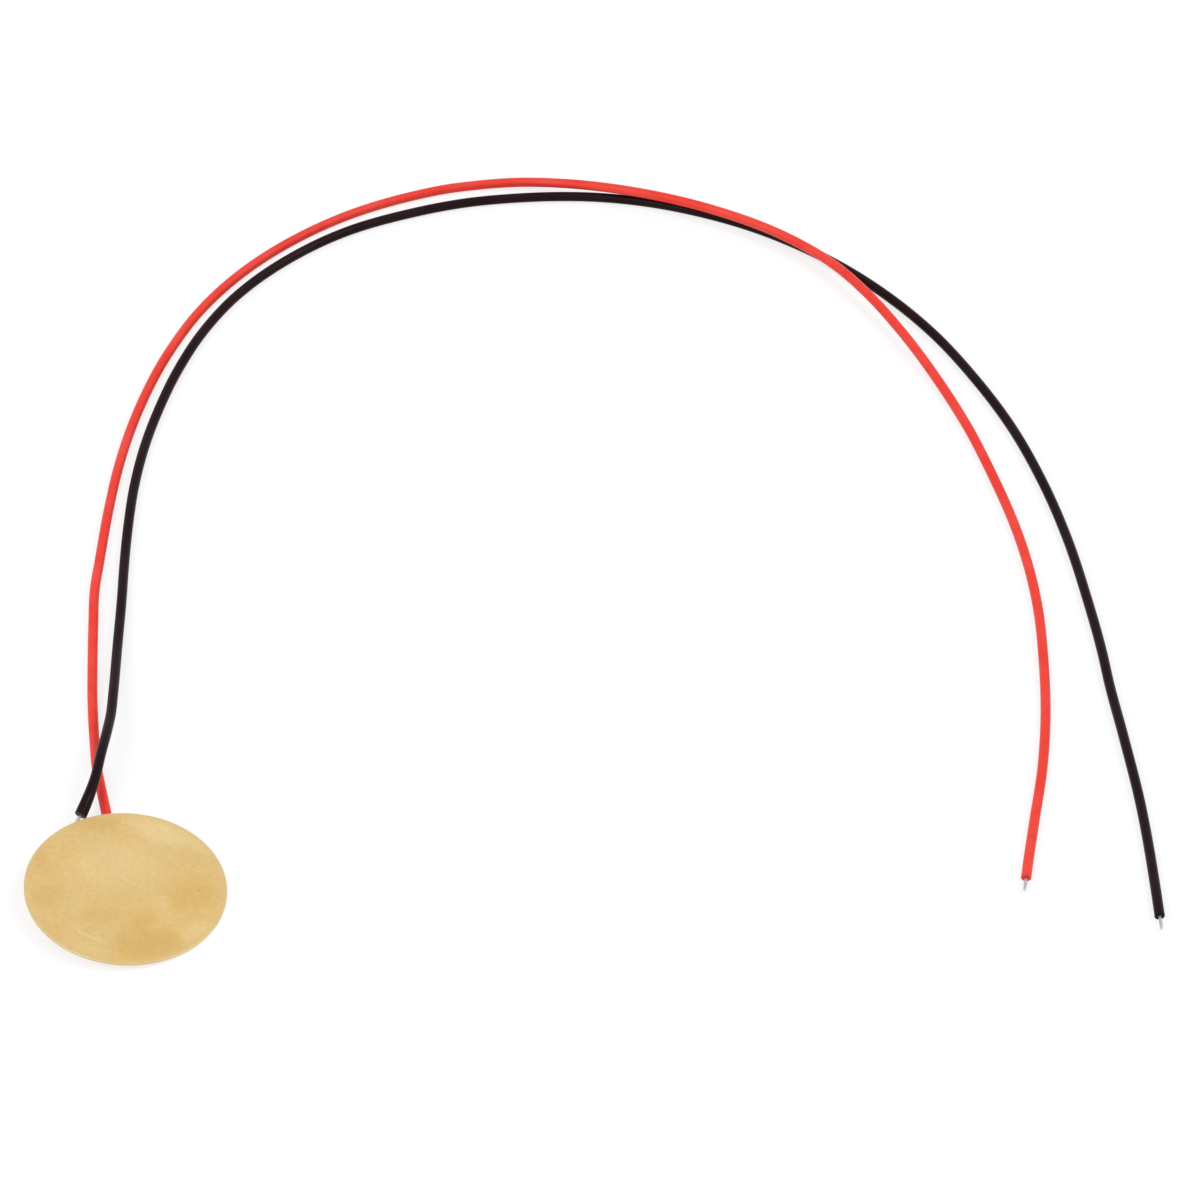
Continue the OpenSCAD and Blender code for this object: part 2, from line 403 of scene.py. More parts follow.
@cache
def circle_pattern() -> Tree:
    """Circular line round Z: 1 at Radius, 0 at Width to either side."""
    pattern = Pattern("circle_line", Radius="Float", Width="Float")
    given = pattern.given
    radius = pattern.length(pattern.vectors("MULTIPLY", given["Vector"], (1.0, 1.0, 0.0)))
    off = pattern.maths("ABSOLUTE", pattern.maths("SUBTRACT", radius, given["Radius"]))
    share = pattern.maths("DIVIDE", off, given["Width"])
    return pattern.finished(pattern.ranged(share, 0.0, 1.0, 1.0, 0.0))


@dataclass(frozen=True)
class PlatePlace:
    """Where the leaning plate lies. In its own measure its underside is at Z = 0.

    Attributes:
        turn: rotation matrix from the level plate to the leaning one.
        middle: middle of the plate's underside.
    """

    turn: Array
    middle: Array

    @classmethod
    def from_face(cls, face: dict, thickness: float) -> "PlatePlace":
        """Reads the place from the mount on the plate's upper face.

        The turn is the smallest that takes +Z to the face's normal: the identity, plus the
        cross-product matrix K of Z and the normal, plus K squared over one plus the normal's Z.

        Args:
            face: the record's mount, with its point and its normal.
            thickness: the plate's thickness.

        Returns:
            The plate's place.
        """
        normal = unit(np.array(face["axis"], float))
        x, y, _ = np.cross([0.0, 0.0, 1.0], normal)
        k = np.array([[0.0, 0.0, y], [0.0, 0.0, -x], [-y, x, 0.0]])
        turn = np.eye(3) + k + k @ k / (1 + normal[2])
        return cls(turn, np.array(face["pos_m"], float) - thickness * normal)

    def put(self, points: Array) -> Array:
        """Takes points from the plate's own measure to their leaning place."""
        return points @ self.turn.T + self.middle

    def measure(self, sheet: Sheet) -> Socket:
        """Adds the nodes that give a shader the plate's own measure, and returns their socket."""
        place = sheet.add("TexCoord").outputs["Object"]
        spin = Matrix(self.turn.tolist()).to_euler()
        return sheet.add("Mapping", {"Vector": place, "Location": self.middle.tolist(), "Rotation": spin},
                         vector_type="TEXTURE").outputs[0]


# ---- Finishes ----


def grey(level: float) -> Colour:
    """Neutral colour of one level."""
    return (level, level, level, 1.0)


@dataclass(frozen=True)
class Finish:
    """Base of the finishes: one material, made once.

    Attributes:
        name: the material's name.
        roughness: roughness where nothing varies it.
        relief: real depth of its relief, in metres.
    """

    name: str
    roughness: float
    relief: ClassVar[float] = 0.004 * MM
    made: ClassVar[dict[str, bpy.types.Material]] = {}

    def measure(self, sheet: Sheet) -> Socket:
        """Adds the node that gives a place on the piece, and returns its socket."""
        return sheet.add("TexCoord").outputs["Object"]

    def dress(self, sheet: Sheet, own: Socket) -> Inputs:
        """Adds the finish's own nodes.

        Args:
            sheet: the material's nodes.
            own: place on the piece, in its own measure.

        Returns:
            The shader's inputs, and Height, the relief from 0 to 1.
        """
        raise NotImplementedError

    def material(self) -> bpy.types.Material:
        """Makes the material, or gives the one that was made before."""
        if self.name not in self.made:
            material = bpy.data.materials.new(self.name)
            material.use_nodes = True
            sheet = Sheet(material.node_tree)
            inputs = self.dress(sheet, self.measure(sheet))
            bump = sheet.add(
                "Bump", {"Height": inputs.pop("Height"), "Distance": self.relief, "Strength": 1.0})
            inputs["Normal"] = bump.outputs[0]
            sheet.fill(material.node_tree.nodes["Principled BSDF"], inputs)
            self.made[self.name] = material
        return self.made[self.name]

    def put_on(self, piece: Piece) -> None:
        """Makes this the piece's only material."""
        piece.data.materials.clear()
        piece.data.materials.append(self.material())


@dataclass(frozen=True)
class PlateFinish(Finish):
    """Base of the finishes of the plate and of what is stuck to it, which have its own measure.

    Attributes:
        place: where the plate lies.
    """

    place: PlatePlace

    def measure(self, sheet: Sheet) -> Socket:
        """Adds the nodes of the plate's own measure, and returns their socket."""
        return self.place.measure(sheet)


@dataclass(frozen=True)
class LeadFinish(Finish):
    """Base of the finishes whose patterns follow a lead."""

    def measure(self, sheet: Sheet) -> Socket:
        """Adds the node that gives a place in the straightened lead, and returns its socket."""
        return sheet.add("Attribute", attribute_name="along").outputs["Vector"]


@dataclass(frozen=True)
class Patch:
    """Soft patch on the brass: tarnish, a paler rub, a spot, or where a painted highlight lies on the
    outline.

    Attributes:
        centre: middle, in millimetres from the plate's middle.
        reach: half its length and half its width, in millimetres.
        turn: direction of its length, in degrees from +X.
        share: how much of its colour it brings.
    """

    centre: tuple[float, float]
    reach: tuple[float, float]
    turn: float
    share: float

    def mask(self, sheet: Sheet, own: Socket) -> Socket:
        """Adds the patch's nodes in the plate's measure, and returns its mask."""
        (x, y), (a, b) = self.centre, self.reach
        return sheet.shared(patch_pattern(), own, Centre=(x * MM, y * MM, 0.0),
                            Reach=(a * MM, b * MM, 1.0), Turn=-math.radians(self.turn))


@dataclass(frozen=True)
class BrassFinish(PlateFinish):
    """Rolled brass with soft clouds of tarnish, paler rubs, the ceramic's faint outline, and painted
    highlights on that outline and round the edge.

    Attributes:
        plate_r: the plate's radius.
        ceramic_r: radius of the ceramic, whose edge shows through as a faint line of relief with a
            painted highlight.
        tarnish: darker patches.
        rubs: paler patches.
        spots: small dark spots.
        outline_highlights: patches within which a painted highlight lies along the outline.
        shade: what the fine mottle multiplies the colour by.
        waver: how far noise bends the patches' outlines.
    """

    plate_r: float
    ceramic_r: float
    tarnish: tuple[Patch, ...]
    rubs: tuple[Patch, ...]
    spots: tuple[Patch, ...]
    outline_highlights: tuple[Patch, ...]
    fresh: Colour = (0.736, 0.5265, 0.2245, 1.0)
    tarnished: Colour = (0.662, 0.4195, 0.1275, 1.0)
    # Paler brass of the rubs; also the colour of the painted highlight on the ceramic's outline.
    rubbed: Colour = (0.796, 0.609, 0.302, 1.0)
    shade: Colour = (0.86, 0.84, 0.8, 1.0)
    spot: Colour = (0.42, 0.28, 0.1, 1.0)
    # Painted highlight: paler colour for the plate's outer edge and side wall.
    rim_highlight: Colour = (0.7, 0.53, 0.25, 1.0)
    # Greyer colour of a band over the outer 0.9 mm of the brass.
    rim_band: Colour = (0.7, 0.535, 0.31, 1.0)
    waver: float = 2.2 * MM
    relief: ClassVar[float] = 0.0008 * MM

    def dress(self, sheet: Sheet, own: Socket) -> Inputs:
        """Lays clouds, patches, the outline with its painted highlight, mottle, a greyer band and a
        painted highlight at the plate's edge, and the lines of rolling.
        """
        noise = sheet.add("TexNoise", {"Vector": own, "Scale": 400.0, "Detail": 2.0})
        offset = sheet.vectors("SUBTRACT", noise.outputs["Color"], (0.5, 0.5, 0.5))
        shift = sheet.vectors("MULTIPLY", offset, (self.waver, self.waver, 0.0))
        bent = sheet.vectors("ADD", own, shift)
        clouds = sheet.shared(cloud_pattern(), own, Scale=170.0, Low=0.36, High=0.68)
        pale = sheet.shared(cloud_pattern(), own, Scale=900.0, Low=0.45, High=0.75)
        colour = sheet.layers(self.fresh, (clouds, 0.22, self.tarnished), (pale, 0.3, self.rubbed))
        for patches, tint, at in ((self.tarnish, self.tarnished, bent), (self.rubs, self.rubbed, bent),
                                  (self.spots, self.spot, own)):
            laid = [(patch.mask(sheet, at), patch.share, tint) for patch in patches]
            colour = sheet.layers(colour, *laid)
        outline = sheet.shared(circle_pattern(), own, Radius=self.ceramic_r, Width=0.5 * MM)
        # Painted highlight: within these patches the ceramic's outline takes the paler rubbed colour, as
        # if light caught its faint ridge; the ridge itself is the outline's Height below.
        for highlight_patch in self.outline_highlights:
            painted_outline_highlight = sheet.maths("MULTIPLY", outline, highlight_patch.mask(sheet, own))
            colour = sheet.layers(colour, (painted_outline_highlight, highlight_patch.share, self.rubbed))
        # A greyer band over the outer 0.9 mm of the brass.
        rim_band_mask = sheet.shared(circle_pattern(), own, Radius=self.plate_r, Width=0.9 * MM)
        colour = sheet.layers(colour, (rim_band_mask, 0.45, self.rim_band))
        coarse = sheet.shared(cloud_pattern(), own, Scale=2200.0, Low=0.35, High=0.7)
        fine = sheet.shared(cloud_pattern(), own, Scale=7000.0, Low=0.35, High=0.7)
        colour = sheet.layers(
            colour, (coarse, 0.4, self.shade), (fine, 0.15, self.shade), blend="MULTIPLY")
        # Painted highlight: the outer 0.12 mm of the brass and its side wall take a paler colour.
        edge = sheet.shared(circle_pattern(), own, Radius=self.plate_r, Width=0.12 * MM)
        rolled = sheet.shared(grain_pattern(), own, Stretch=(120.0, 9000.0, 1.0), Turn=0.35)
        scratch = sheet.shared(grain_pattern(), own, Stretch=(260.0, 30000.0, 1.0), Turn=-0.8)
        scratches = sheet.ranged(scratch, 0.9, 1.0)
        return {
            "Base Color": sheet.layers(colour, (edge, 1.0, self.rim_highlight)), "Metallic": 1.0,
            "Roughness": sheet.total(self.roughness, (clouds, 0.1), (rolled, -0.05)),
            "Height": sheet.total(rolled, (scratches, 1.0), (outline, 4.0))}


@dataclass(frozen=True)
class SilverFinish(PlateFinish):
    """Screen-printed fired silver: a fine mesh print, a faint yellow cast and flux round the joint.

    Attributes:
        joint: middle of the solder joint on it, in the plate's own measure.
        joint_r: radius of that joint.
        flux_reach: how far the flux spreads, in radii of the joint, each way.
    """

    joint: Point
    joint_r: float
    flux_reach: tuple[float, float] = (2.1, 1.785)
    silver: Colour = (0.8, 0.79, 0.75, 1.0)
    cast: Colour = (0.66, 0.6, 0.47, 1.0)
    flux: Colour = (0.42, 0.24, 0.07, 1.0)

    def dress(self, sheet: Sheet, own: Socket) -> Inputs:
        """Lays the printed mesh, the cast and the flux on the silver."""
        mesh = sheet.add("TexVoronoi", {"Vector": own, "Scale": 9000.0, "Randomness": 0.25})
        grain = sheet.ranged(mesh.outputs["Distance"], 0.1, 0.6)
        clouds = sheet.shared(cloud_pattern(), own, Scale=210.0, Low=0.4, High=0.72)
        runs = sheet.shared(cloud_pattern(), own, Scale=900.0, Low=0.35, High=0.6)
        reach = (self.joint_r * self.flux_reach[0], self.joint_r * self.flux_reach[1], 1.0)
        halo = sheet.shared(patch_pattern(), own, Centre=self.joint, Reach=reach, Turn=0.4)
        wet = sheet.maths("MULTIPLY", halo, runs)
        return {
            "Base Color": sheet.layers(
                self.silver, (clouds, 0.3, self.cast), (grain, 0.12, grey(0.5)), (wet, 0.8, self.flux)),
            "Metallic": sheet.total(1.0, (wet, -0.7)),
            "Roughness": sheet.total(self.roughness, (clouds, 0.12), (wet, -0.35)), "Height": grain}


@dataclass(frozen=True)
class CeramicFinish(PlateFinish):
    """Fired piezo ceramic: pale, matte, faintly mottled and pitted."""

    body: Colour = (0.78, 0.72, 0.55, 1.0)
    shade: Colour = (0.6, 0.52, 0.36, 1.0)
    pit: Colour = (0.36, 0.3, 0.2, 1.0)

    def dress(self, sheet: Sheet, own: Socket) -> Inputs:
        """Lays mottling and pits on the ceramic."""
        clouds = sheet.shared(cloud_pattern(), own, Scale=700.0, Low=0.38, High=0.7)
        pits = sheet.shared(speck_pattern(), own, Scale=5000.0, Share=0.12, Size=0.35)
        return {
            "Base Color": sheet.layers(self.body, (clouds, 0.5, self.shade), (pits, 0.6, self.pit)),
            "Roughness": sheet.total(self.roughness, (pits, 0.2)),
            "Height": sheet.total(0.0, (clouds, 0.4), (pits, -1.0))}


@dataclass(frozen=True)
class AdhesiveFinish(PlateFinish):
    """Cured adhesive: amber, glossy, cloudier where it is thick."""

    thin: Colour = (0.5, 0.33, 0.1, 1.0)
    thick: Colour = (0.3, 0.17, 0.04, 1.0)
    bubble: Colour = (0.7, 0.56, 0.3, 1.0)
    relief: ClassVar[float] = 0.006 * MM

    def dress(self, sheet: Sheet, own: Socket) -> Inputs:
        """Lays clouds and small bubbles in the adhesive."""
        clouds = sheet.shared(cloud_pattern(), own, Scale=500.0, Low=0.35, High=0.7)
        bubbles = sheet.shared(speck_pattern(), own, Scale=4000.0, Share=0.08, Size=0.3)
        return {
            "Base Color": sheet.layers(self.thin, (clouds, 1.0, self.thick), (bubbles, 0.5, self.bubble)),
            "Roughness": sheet.total(self.roughness, (clouds, 0.12)), "Height": bubbles}


@dataclass(frozen=True)
class SolderFinish(Finish):
    """Solder: bright where it froze smooth, with matte frosted patches and a little flux."""

    bright: Colour = (0.7, 0.71, 0.72, 1.0)
    frosted: Colour = (0.48, 0.49, 0.5, 1.0)
    flux: Colour = (0.36, 0.23, 0.09, 1.0)
    relief: ClassVar[float] = 0.006 * MM

    def dress(self, sheet: Sheet, own: Socket) -> Inputs:
        """Lays frost and flux on the solder."""
        frost = sheet.shared(cloud_pattern(), own, Scale=1500.0, Low=0.42, High=0.66)
        flux = sheet.shared(cloud_pattern(), own, Scale=800.0, Low=0.6, High=0.72)
        fine = sheet.add("TexNoise", {"Vector": own, "Scale": 12000.0, "Detail": 3.0})
        return {
            "Base Color": sheet.layers(self.bright, (frost, 1.0, self.frosted), (flux, 0.55, self.flux)),
            "Metallic": 1.0, "Roughness": sheet.total(self.roughness, (frost, 0.25)),
            "Height": sheet.total(frost, (fine.outputs[0], 0.5))}


@dataclass(frozen=True)
class TinnedFinish(LeadFinish):
    """Tinned copper strands: pale grey metal, and copper where the tin is thin."""

    tin: Colour = (0.5, 0.5, 0.49, 1.0)
    copper: Colour = (0.6, 0.4, 0.29, 1.0)

    def dress(self, sheet: Sheet, own: Socket) -> Inputs:
        """Lays worn tin along the strands."""
        worn = sheet.shared(cloud_pattern(), own, Scale=1100.0, Low=0.56, High=0.72)
        drawn = sheet.shared(grain_pattern(), own, Stretch=(900.0, 14000.0, 14000.0), Turn=0.0)
        return {
            "Base Color": sheet.layers(self.tin, (worn, 0.6, self.copper), (drawn, 0.2, grey(0.35))),
            "Metallic": 1.0, "Roughness": sheet.total(self.roughness, (drawn, 0.15)),
            "Height": drawn}


@dataclass(frozen=True)
class PvcFinish(LeadFinish):
    """Extruded soft PVC: fine lines along the lead, slow changes of tone, dust and small scuffs.

    Attributes:
        body: main colour.
        pale: colour of the paler stretches.
        deep: colour of the deeper stretches.
        speck: colour of dust and scuffs.
        gloss: strength of its mirror reflections, 0.5 for a clean smooth skin.
        refraction: its index of refraction.
    """

    body: Colour
    pale: Colour
    deep: Colour
    speck: Colour
    gloss: float
    refraction: float = 1.52

    def dress(self, sheet: Sheet, own: Socket) -> Inputs:
        """Lays tones, lines, scuffs and dust along the lead."""
        tones = sheet.shared(cloud_pattern(), own, Scale=110.0, Low=0.35, High=0.68)
        depths = sheet.shared(cloud_pattern(), own, Scale=420.0, Low=0.5, High=0.75)
        drawn = sheet.shared(grain_pattern(), own, Stretch=(60.0, 5200.0, 5200.0), Turn=0.0)
        rubbed = sheet.shared(grain_pattern(), own, Stretch=(420.0, 2600.0, 2600.0), Turn=0.0)
        dust = sheet.shared(speck_pattern(), own, Scale=1300.0, Share=0.05, Size=0.16)
        scuffs = sheet.ranged(rubbed, 0.86, 1.0)
        return {
            "Base Color": sheet.layers(
                self.body, (tones, 0.6, self.pale), (depths, 0.5, self.deep), (dust, 0.55, self.speck)),
            "Roughness": sheet.total(self.roughness, (scuffs, 0.14), (drawn, 0.07)),
            "Height": sheet.total(drawn, (scuffs, 0.8)),
            "IOR": self.refraction, "Specular IOR Level": self.gloss}


# ---- The element ----


def stand_in(piece: Piece, node: str, finish: Finish) -> Piece:
    """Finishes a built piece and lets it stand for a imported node, on the only body.

    Args:
        piece: the piece.
        node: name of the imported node.
        finish: its finish.

    Returns:
        The same piece.
    """
    finish.put_on(piece)
    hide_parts(node)
    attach(piece, "root")
    return piece


@dataclass(frozen=True)
class Adhesive:
    """Film of adhesive under the brass, with the uneven bead that it leaves round the ceramic.

    Attributes:
        place: where the plate lies.
        finish: its finish.
        ceramic_r: radius of the ceramic.
        film_t: thickness of the film.
        bead_w: mean width of the bead.
        bead_h: mean height to which the bead climbs the ceramic.
        width_waves: count round the circle, share and phase of each change of the width.
        height_waves: the same for the height.
        hollow: power that hollows the bead's section towards the corner.
        sides: points of a ring.
        steps: rings of the bead.
    """

    place: PlatePlace
    finish: AdhesiveFinish
    ceramic_r: float
    film_t: float = 0.03 * MM
    bead_w: float = 0.15 * MM
    bead_h: float = 0.145 * MM
    width_waves: Waves = ((3, 0.18, 0.4), (7, 0.16, 2.1), (17, 0.12, 4.0), (41, 0.08, 1.0))
    height_waves: Waves = ((2, 0.1, 1.1), (9, 0.12, 0.3), (23, 0.08, 2.2))
    hollow: float = 1.3
    sides: int = 240
    steps: int = 8

    def surface(self) -> Rings:
        """Turns the film's section, whose bead grows and shrinks round the ceramic.

        At a bend b from 0 to a quarter turn the bead is its width times (1 - sin b) to the
        power hollow past the ceramic, and its height times (1 - cos b) to that power below the
        brass. Its width and height follow sums of cosines round the circle.

        Returns:
            The closed surface, from the middle of its face on the brass to that on the ceramic.
        """
        angle = np.arange(self.sides) * TURN / self.sides
        width = self.bead_w * (1 + ripple(angle, self.width_waves))
        height = self.bead_h * (1 + ripple(angle, self.height_waves))
        bend = np.linspace(0, math.pi / 2, self.steps)[:, None]
        bead_r = self.ceramic_r + width * (1 - np.sin(bend)) ** self.hollow
        bead_z = -height * (1 - np.cos(bend)) ** self.hollow
        level = np.ones((1, self.sides))
        radius = np.concatenate([
            level * self.ceramic_r / 2, bead_r, level * self.ceramic_r, level * self.ceramic_r / 2])
        depth = np.concatenate([level * 0.0, bead_z, level * -self.film_t, level * -self.film_t])
        points = np.stack([radius * np.cos(angle), radius * np.sin(angle), depth], axis=-1)[:, ::-1]
        return Rings(self.place.put(points), first_pole=self.place.put(np.zeros(3)),
                     last_pole=self.place.put(np.array([0.0, 0.0, -self.film_t])))

    def build(self) -> list[Piece]:
        """Builds the adhesive in place of its packed film, and returns its object."""
        return [stand_in(self.surface().piece("adhesive_bead"), "bond_film", self.finish)]


@dataclass(frozen=True)
class SolderJoint:
    """Bell of solder round the end of a wire, on the underside of the plate or of the silver.

    Attributes:
        name: signal or earth.
        place: where the plate lies.
        finish: its finish.
        from_middle: its distance from the plate's middle.
        direction: where it lies round the plate, in degrees from +X.
        face_depth: depth of the face that it sits on, below the brass.
        foot_d: diameter of its foot.
        height: its height.
        wire_direction: where its wire leaves, in degrees from +X.
        foot_reach: share by which its foot reaches further out under the wire.
        seed: phase of its small unevenness.
        wire_r: radius of the wire.
        film: solder between the wire and the face.
        wire_past: half the distance from its foot to where the lead's route starts.
        wire_inside: how far back from halfway there the wire starts to bend.
        wire_back: how far behind the joint's middle the wire's end lies.
        reach_spread: half the angle within which the foot reaches further out.
        bell_power: power that rounds the bell's shoulder.
        ridge_w: half the width of the ridge over the wire, in the wire's radii.
    """

    name: str
    place: PlatePlace
    finish: SolderFinish
    from_middle: float
    direction: float
    face_depth: float
    foot_d: float
    height: float
    wire_direction: float
    foot_reach: float
    seed: float
    wire_r: float = 0.24 * MM
    film: float = 0.03 * MM
    wire_past: float = 0.1 * MM
    wire_inside: float = 0.3 * MM
    wire_back: float = 0.6 * MM
    reach_spread: float = 0.4
    bell_power: float = 1.25
    ridge_w: float = 1.5

    def middle(self) -> Array:
        """Middle of its foot, in the plate's own measure."""
        angle = math.radians(self.direction)
        return np.array([
            self.from_middle * math.cos(angle), self.from_middle * math.sin(angle), -self.face_depth])

    def wire_points(self) -> Array:
        """Points on the soldered wire's axis: its end, one inside the joint and one just past it."""
        angle = math.radians(self.wire_direction)
        exit_way = np.array([math.cos(angle), math.sin(angle), 0.0])
        past = self.foot_d / 2 + self.wire_past
        reach = np.array([-self.wire_back, past - self.wire_inside, past + self.wire_past])
        axis = self.middle() - np.array([0.0, 0.0, self.wire_r + self.film])
        return self.place.put(axis + reach[:, None] * exit_way)

    def surface(self, rows: int = 26, sides: int = 72) -> Rings:
        """Shapes the joint as a height over its foot.

        At a share p of the way to its outline the bell is its height times the squared cosine
        of a quarter turn times p to the bell's power. A ridge over the wire falls off sideways
        as a bell curve and fades with the eighth power of p. The two are joined by a
        fourth-power mean. The outline reaches out a little under the wire and wavers by sums
        of cosines.

        Args:
            rows: rings from the top to the foot.
            sides: points of a ring.

        Returns:
            The closed surface, from its top to the middle of its foot.
        """
        angle = np.arange(sides) * TURN / sides
        away = (angle - math.radians(self.wire_direction) + math.pi) % TURN - math.pi
        waves = ((2, 0.02, self.seed), (5, 0.018, 2 * self.seed), (9, 0.01, 3 * self.seed))
        reach = self.foot_reach * np.exp(-((away / self.reach_spread) ** 2))
        outline = self.foot_d / 2 * (1 + reach + ripple(angle, waves))
        share = np.linspace(1 / rows, 1, rows)[:, None]
        radius = share * outline
        bell = self.height * np.cos(math.pi / 2 * share ** self.bell_power) ** 2
        sideways = radius * np.sin(away) / (self.ridge_w * self.wire_r)
        ahead = np.clip(radius * np.cos(away) / self.wire_r, 0, 1)
        ridge = 2 * (self.wire_r + self.film) * np.exp(-(sideways ** 2)) * ahead * (1 - share ** 8)
        tall = (bell ** 4 + ridge ** 4) ** 0.25
        points = np.stack([radius * np.cos(angle), radius * np.sin(angle), -tall], axis=-1)
        points += self.middle()
        top = self.middle() - np.array([0.0, 0.0, self.height])
        return Rings(self.place.put(points), first_pole=self.place.put(top),
                     last_pole=self.place.put(self.middle()))

    def build(self) -> list[Piece]:
        """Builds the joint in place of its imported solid, and returns its object."""
        piece = self.surface().piece(f"{self.name}_joint")
        return [stand_in(piece, f"{self.name}_solder", self.finish)]


# ---- The leads ----


@dataclass(frozen=True)
class Route:
    """Points that a lead's insulation follows.

    Attributes:
        near: first points, with X and Y counted from where the wire leaves its joint.
        far: the rest. All have X and Y in metres, and how many lead diameters they are raised
            over lying on the surface.
        lead_d: diameter of the lead.
    """

    near: tuple[Point, ...]
    far: tuple[Point, ...]
    lead_d: float

    def placed(self, wire_end: Array) -> Array:
        """Gives all points in metres, from the end of the soldered wire."""
        points = np.array(self.near + self.far)
        points[: len(self.near), :2] += wire_end[:2]
        points[:, 2] = self.lead_d * (0.5 + points[:, 2])
        return points

    def headings(self, points: Array) -> Array:
        """Finds the curve's direction at each point.

        It is that of the two chords that meet there, each weighted by the other's length, and
        level where the lead lies on the surface. The ends take their only chord's.

        Args:
            points: the points.

        Returns:
            The directions.
        """
        chords = np.diff(points, axis=0)
        lengths = np.linalg.norm(chords, axis=1)[:, None]
        ways = chords / lengths
        inner = (ways[:-1] * lengths[1:] + ways[1:] * lengths[:-1]) / (lengths[:-1] + lengths[1:])
        inner[points[1:-1, 2] <= self.lead_d / 2, 2] = 0.0
        return np.concatenate([ways[:1], inner, ways[-1:]])

    def curve(self, points: Array, gap: float) -> Array:
        """Runs a Hermite curve through points, whose speed on each chord is the chord's length.

        Args:
            points: the points.
            gap: longest step between the curve's own points.

        Returns:
            The curve's points.
        """
        headings = self.headings(points)
        lengths = np.linalg.norm(np.diff(points, axis=0), axis=1)
        counts = np.ceil(lengths / gap).astype(int)
        chord = np.repeat(np.arange(len(counts)), counts)
        first = np.cumsum(counts) - counts
        t = ((np.arange(counts.sum()) - first[chord]) / counts[chord])[:, None]
        p, q = points[chord], points[chord + 1]
        u = headings[chord] * lengths[chord, None]
        v = headings[chord + 1] * lengths[chord, None]
        inside = (p * (1 + 2 * t) * (1 - t) ** 2 + q * (3 - 2 * t) * t ** 2
                  + u * t * (1 - t) ** 2 - v * (1 - t) * t ** 2)
        return np.concatenate([inside, points[-1:]])


